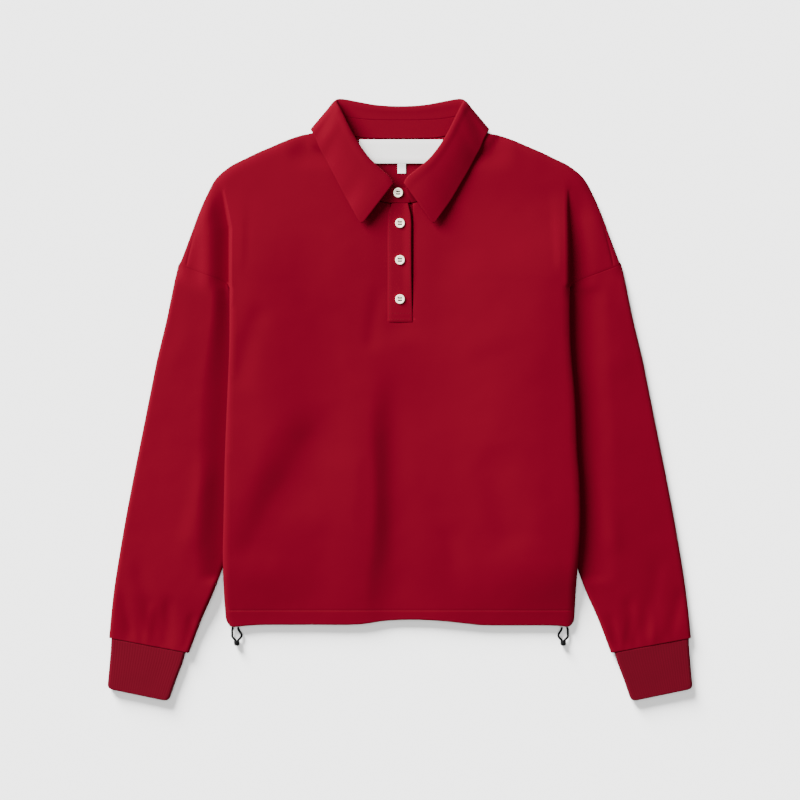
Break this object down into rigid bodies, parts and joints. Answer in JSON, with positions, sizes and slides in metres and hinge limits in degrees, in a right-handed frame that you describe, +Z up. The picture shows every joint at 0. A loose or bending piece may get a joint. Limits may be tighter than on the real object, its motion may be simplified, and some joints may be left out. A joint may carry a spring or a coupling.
{
  "type": "long sleeve polo shirt",
  "caption": "Relaxed long sleeve polo shirt in heavy jersey, buttoned and laid flat, with a soft collar, half placket, rib cuffs and cord loops at the hem.",
  "frame": {"origin": "on the surface under the middle of the shirt's outer box", "axes": "+Y from the hem to the collar, +X to the right seen from above, +Z up from the surface"},
  "size_m": [0.7328, 0.7539, 0.0147],
  "materials": {
    "jersey": "matte heavy cotton jersey",
    "rib": "matte fine rib",
    "button": "soft gloss",
    "label": "woven satin",
    "cord": "braided elastic",
    "bead": "satin"
  },
  "bodies": {
    "root": {"front_panel": "jersey", "back_panel": "jersey", "sleeve_left": "jersey", "sleeve_right": "jersey", "collar_fall": "jersey", "collar_stand": "jersey", "placket_over": "jersey", "placket_under": "jersey", "cuff_left": "rib", "cuff_right": "rib", "button_1": "button", "button_2": "button", "button_3": "button", "button_4": "button", "neck_label": "label", "size_tag": "label", "cord_left": "cord", "cord_right": "cord", "bead_left": "bead", "bead_right": "bead"}
  },
  "joints": []
}
